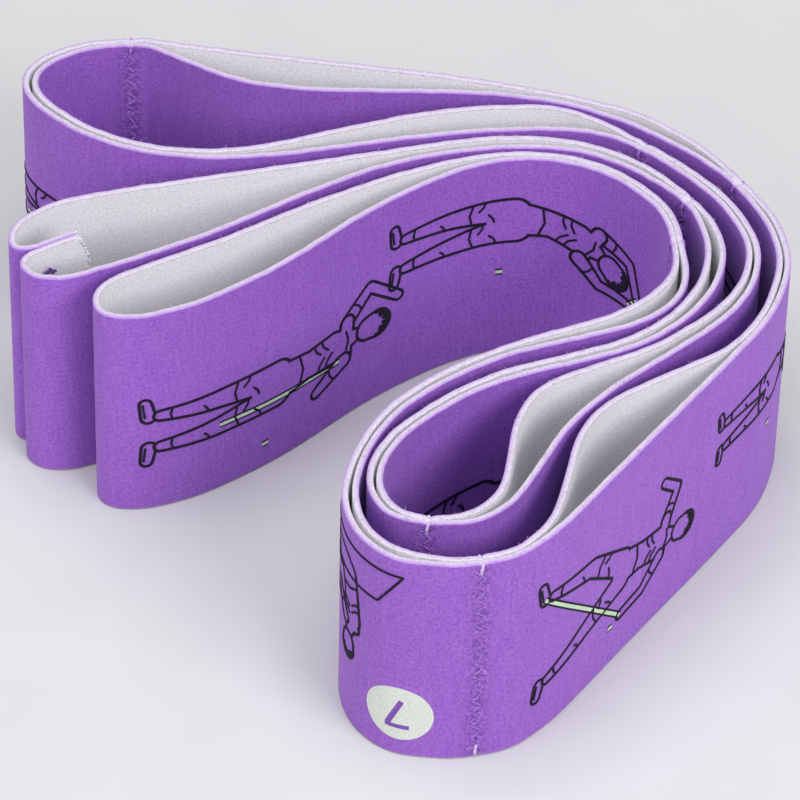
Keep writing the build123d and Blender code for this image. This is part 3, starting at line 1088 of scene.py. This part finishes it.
def crease(first, second, share, facing):
    """Short fold in the clothing, from one side of a limb and up towards its middle."""
    middle = first + (second - first) * share
    ahead, left = directions(first, second)
    side = facing * left
    reach = middle[2]
    start = middle[:2] + side * reach * 0.92
    bend = middle[:2] + side * reach * 0.55 + ahead * reach * 0.12
    end = middle[:2] + side * reach * 0.15 + ahead * reach * 0.5
    return along_path([start, bend, end], 0.25)


def sole(heel, toe):
    """Line between the sole and the upper of a shoe."""
    _, side = directions(heel, toe)
    if side[1] > 0:
        side = -side
    return along_path([heel[:2] + side * heel[2] * 0.45, toe[:2] + side * toe[2] * 0.45], 0.3)


def hair_lines(pose):
    """Short plain hair over the top of a blank head."""
    head, crown = chain(FIGURES[pose], "head", "crown")[0]
    facing = np.degrees(np.arctan2(crown[1] - head[1], crown[0] - head[0]))
    inner = crown[2] - 0.7
    lines = [arc(crown, crown[2] - 0.25, facing - 100, facing + 100)]
    lines.append(arc(crown, inner, facing - 80, facing + 80))
    for lean in (-60, -20, 20, 60):
        turn = np.radians(facing + lean)
        outer = crown[:2] + inner * np.array([np.cos(turn), np.sin(turn)])
        lines.append(along_path([outer, outer * 0.6 + crown[:2] * 0.4], 0.2))
    return lines


def upright(**moved):
    """Joints of a standing figure 46 mm tall as (right, up, radius), with some of them moved.

    A moved joint keeps its radius, unless it is given a third value.
    """
    joints = {
        "pelvis": (0, 24.5, 3.2), "waist": (0, 29, 2.6), "chest": (0, 34, 3.1), "neck": (0, 39, 1.1),
        "head": (0, 41.2, 2.2), "crown": (0, 43.0, 2.5),
    }
    pairs = {
        "shoulder": (3.6, 36.3, 1.4), "elbow": (5.4, 29.8, 1.0), "hand": (5.8, 23.4, 0.9),
        "hip": (1.8, 23.0, 2.6), "knee": (2.6, 12.5, 1.7), "ankle": (3.0, 3.0, 0.95),
        "heel": (3.0, 1.3, 1.1), "toe": (5.6, 0.9, 0.9),
    }
    for name, (right, up, radius) in pairs.items():
        joints[f"{name}_l"] = (-right, up, radius)
        joints[f"{name}_r"] = (right, up, radius)
    for name, place in moved.items():
        joints[name] = (*place, *joints[name][len(place):])
    return joints


FIGURES = {
    # Both arms up, with the band taut between the hands
    "reach": upright(
        elbow_l=(-7.2, 40.5), hand_l=(-5.2, 46.6),
        elbow_r=(7.2, 40.5), hand_r=(5.2, 46.6),
    ),
    # One arm up, with the band from the knee to the other hand
    "pull": upright(
        shoulder_l=(-3.4, 37.0), elbow_l=(-7.8, 41.6), hand_l=(-3.4, 47.0),
        elbow_r=(6.6, 30.6), hand_r=(3.2, 35.4),
    ),
    # Leaning to one side with both arms up, and the band between the hands
    "lean": upright(
        waist=(0.6, 28.8), chest=(2.4, 33.4, 3.0), neck=(4.6, 37.6),
        head=(6.0, 39.4), crown=(7.2, 40.8),
        shoulder_l=(0.4, 37.2), shoulder_r=(6.4, 33.6),
        elbow_l=(3.0, 43.6), hand_l=(9.2, 45.6),
        elbow_r=(10.6, 37.4), hand_r=(11.2, 43.6),
    ),
    # A wide step, with the band from one foot to the hand on the other side
    "step": upright(
        waist=(0.8, 28.6), chest=(2.0, 33.2, 3.0), neck=(3.0, 37.8),
        head=(3.6, 40.0), crown=(4.1, 41.7),
        shoulder_l=(-1.4, 35.8), shoulder_r=(5.4, 34.2),
        elbow_l=(-6.4, 38.6), hand_l=(-10.0, 34.6),
        elbow_r=(9.0, 29.4), hand_r=(9.6, 23.2),
        knee_l=(-7.2, 14.6, 1.8), ankle_l=(-9.4, 4.0), heel_l=(-9.6, 2.2), toe_l=(-12.4, 1.6),
        knee_r=(4.8, 12.6), ankle_r=(8.0, 3.2), heel_r=(8.2, 1.5), toe_r=(10.8, 0.9),
    ),
    # Sitting with the legs out, with the band from one foot to both hands
    "sit": upright(
        pelvis=(-4.0, 6.0), waist=(-5.4, 11.0), chest=(-5.6, 16.2, 3.0), neck=(-4.8, 21.2),
        head=(-4.4, 23.4), crown=(-4.2, 25.2),
        shoulder_l=(-7.0, 18.2), shoulder_r=(-3.2, 18.4),
        elbow_l=(-3.2, 14.6), hand_l=(3.4, 15.6),
        elbow_r=(0.6, 13.0), hand_r=(6.4, 14.2),
        hip_l=(-3.0, 4.6), hip_r=(-2.0, 4.4),
        knee_l=(7.4, 7.6), ankle_l=(16.6, 10.4), heel_l=(18.2, 10.2), toe_l=(18.6, 13.0),
        knee_r=(8.0, 3.2), ankle_r=(17.4, 2.6), heel_r=(19.2, 1.8), toe_r=(20.2, 4.4),
    ),
}
# The pale band each figure holds, as joints to pass through
HELD = {
    "reach": [("hand_l", "hand_r")],
    "pull": [("knee_r", "hand_r")],
    "lean": [("hand_l", "hand_r")],
    "step": [("heel_l", "hand_r")],
    "sit": [("toe_l", "hand_r"), ("toe_l", "hand_l")],
}
# Loop, pose, place along the loop and height in millimetres, and size. A standing figure's feet
# are that far from the loop's far seam and its middle is at that height. A sitting one is that
# far from the near seam and the ground under it is at that height.
PRINTS = [
    (8, "pull", 8.5, 16.0, 1.06),
    (8, "lean", 56.5, 27.5, 1.0),
    (7, "sit", 25.6, 35.3, 0.8),
    (7, "reach", 9.0, 20.0, 0.95),
    (6, "step", 9.0, 18.0, 0.96),
    (6, "lean", 57.0, 25.0, 0.8),
    (5, "reach", 12.0, 20.0, 0.95),
    (5, "pull", 58.0, 22.0, 0.85),
    (4, "pull", 12.0, 18.5, 1.0),
    (4, "sit", 44.0, 34.0, 0.95),
    (3, "step", 14.0, 20.0, 0.95),
    (3, "reach", 62.0, 20.0, 0.85),
    (2, "reach", 17.0, 16.5, 0.95),
    (1, "step", 12.0, 20.0, 0.95),
]
INK_LIFT = 0.045 * MM           # the ink's surface over the webbing's
INK_LAYER = 0.012 * MM          # and each layer of ink over the one below
INK_DEPTH = 0.06 * MM           # how far the ink soaks in
HIDDEN_DEPTH = 0.03             # millimetres that an outline has to lie inside a limb to be hidden
TAB_AT = (10.5, 20.0)           # a small mark beside each standing figure, in its millimetres
TAB_LENGTH = 1.2
MAT = [(-18, -1.5), (24, -1.5), (28, 6.5), (-13, 6.5), (-18, -1.5)]    # under a sitting figure
LINE_WIDTH = 0.5 * MM
THIN_LINE = 0.36 * MM
HAIR_LINE = 0.6 * MM
# Layers of ink: the band and its outline are below, and thick lines that cross differ in layer
THICK_LAYERS = (2, 3, 4, 5)
THIN_LAYER = 6
HAIR_LAYER = 7
BAND_WIDTH = 0.6 * MM           # the pale band that a figure holds
BAND_OUTLINE = 1.25 * MM        # and the black line under it
NUMBER_LINE = 0.85 * MM
BADGE_RADIUS = 5.3 * MM
BADGE_HEIGHT = 8.6 * MM
BADGE_FROM_SEAM = 11.5 * MM
BADGE_FROM_CUT = 44 * MM        # loop 1's badge is clear of the closing seam


def print_piece(name, parts, number):
    """One piece of ink on a loop, from (shape, ink) pairs."""
    piece = joined_piece(name, parts, smooth=False)
    attach(piece, number)


def badge(number):
    """Number disc near the loop's seam, upside down when the coil stands as it does."""
    seam, _ = loop_span(number, "a")
    centre = np.array([seam + (BADGE_FROM_CUT if number == 1 else BADGE_FROM_SEAM), BADGE_HEIGHT])
    parts = [(ink_disc(centre, BADGE_RADIUS, 0), BADGE_INK)]
    for layer, stroke in enumerate(DIGITS[number], start=1):
        points = along_path(stroke) * MM
        place = np.stack([centre[0] + points[:, 0], centre[1] - points[:, 1]], axis=1)
        parts.append((ink_line(place, NUMBER_LINE, layer), NUMBER_INK))
    print_piece(f"badge_{number}", parts, number)


def figure(index, number, pose, place, height, size):
    """A figure that stands along the webbing, or sits upside down on a mat across it."""
    near, far = loop_span(number, "a")
    parts = []

    def placed(line):
        line = np.asarray(line, float) * size
        if pose == "sit":
            return np.stack([near / MM + place + line[:, 0], height - line[:, 1]], axis=1) * MM
        return np.stack([far / MM - place - line[:, 1], height - line[:, 0]], axis=1) * MM

    def draw(line, width, layer, ink=BLACK_INK):
        parts.append((ink_line(placed(line), width, layer), ink))

    def draw_band(line):
        draw(line, BAND_OUTLINE, 0)
        draw(line, BAND_WIDTH, 1, GREEN_INK)

    for ends in HELD[pose]:
        draw_band(along_path([FIGURES[pose][name][:2] for name in ends]))
    thick, thin = figure_lines(pose)
    for line, layer in zip(thick, cycle(THICK_LAYERS)):
        draw(line, LINE_WIDTH, layer)
    for line in thin:
        draw(line, THIN_LINE, THIN_LAYER)
    for line in hair_lines(pose):
        draw(line, HAIR_LINE, HAIR_LAYER)
    if pose == "sit":
        draw(along_path(MAT), THIN_LINE, THIN_LAYER)
    else:
        draw_band(along_path([TAB_AT, (TAB_AT[0], TAB_AT[1] + TAB_LENGTH)], 0.2))
    print_piece(f"figure_{index}", parts, number)


for number in LOOPS:
    badge(number)
for index, (number, *settings) in enumerate(PRINTS, start=1):
    figure(index, number, *settings)


# ---- floor, lights and camera

FLOOR_SIZE = 3.0
floor_shader = Shader("floor", 0.9)
floor_place = floor_shader.node("ShaderNodeTexCoord").outputs["Object"]
floor_grain = floor_shader.noise(floor_place, 60.0, 4.0)
floor_shader.colour(floor_shader.mix(floor_grain, srgb(196, 196, 198), srgb(204, 204, 205)))
half = FLOOR_SIZE / 2
floor = new_piece(
    "floor",
    [(-half, -half, 0), (half, -half, 0), (half, half, 0), (-half, half, 0)],
    [(0, 1, 2, 3)],
    [floor_shader.material],
    smooth=False,
)


def soft_light(name, place, size, power):
    """Square area light that faces the middle of the coil, on the floor."""
    data = bpy.data.lights.new(name, "AREA")
    data.size = size
    data.energy = power
    light = bpy.data.objects.new(name, data)
    light.location = place
    light.rotation_euler = (-Vector(place)).to_track_quat("-Z", "Y").to_euler()
    bpy.context.scene.collection.objects.link(light)


soft_light("key", (0.78, -0.84, 0.85), 0.7, 11.6)
soft_light("fill", (-0.8, -0.7, 0.7), 0.8, 4.5)
soft_light("top", (-0.1, -0.1, 1.25), 0.9, 10)

world = bpy.data.worlds.new("studio")
world.use_nodes = True
world.node_tree.nodes["Background"].inputs["Color"].default_value = (0.9, 0.91, 0.93, 1)
world.node_tree.nodes["Background"].inputs["Strength"].default_value = 0.42
bpy.context.scene.world = world
bpy.context.scene.view_settings.view_transform = "Standard"

ELEVATION = radians(42.07)
CAMERA_DISTANCE = 824.8 * MM
CAMERA_ROLL = radians(1.5)
camera_data = bpy.data.cameras.new("camera")
camera_data.sensor_width = 36
camera_data.lens = 249.5
camera_data.clip_start = 0.01
camera = bpy.data.objects.new("camera", camera_data)
look_at = Vector((1 * MM, -25 * MM, WIDTH))
away = Vector((0, -cos(ELEVATION), sin(ELEVATION)))
turn = Matrix.Rotation(pi / 2 - ELEVATION, 4, "X") @ Matrix.Rotation(CAMERA_ROLL, 4, "Z")
camera.matrix_world = Matrix.Translation(look_at + away * CAMERA_DISTANCE) @ turn
bpy.context.scene.collection.objects.link(camera)
bpy.context.scene.camera = camera
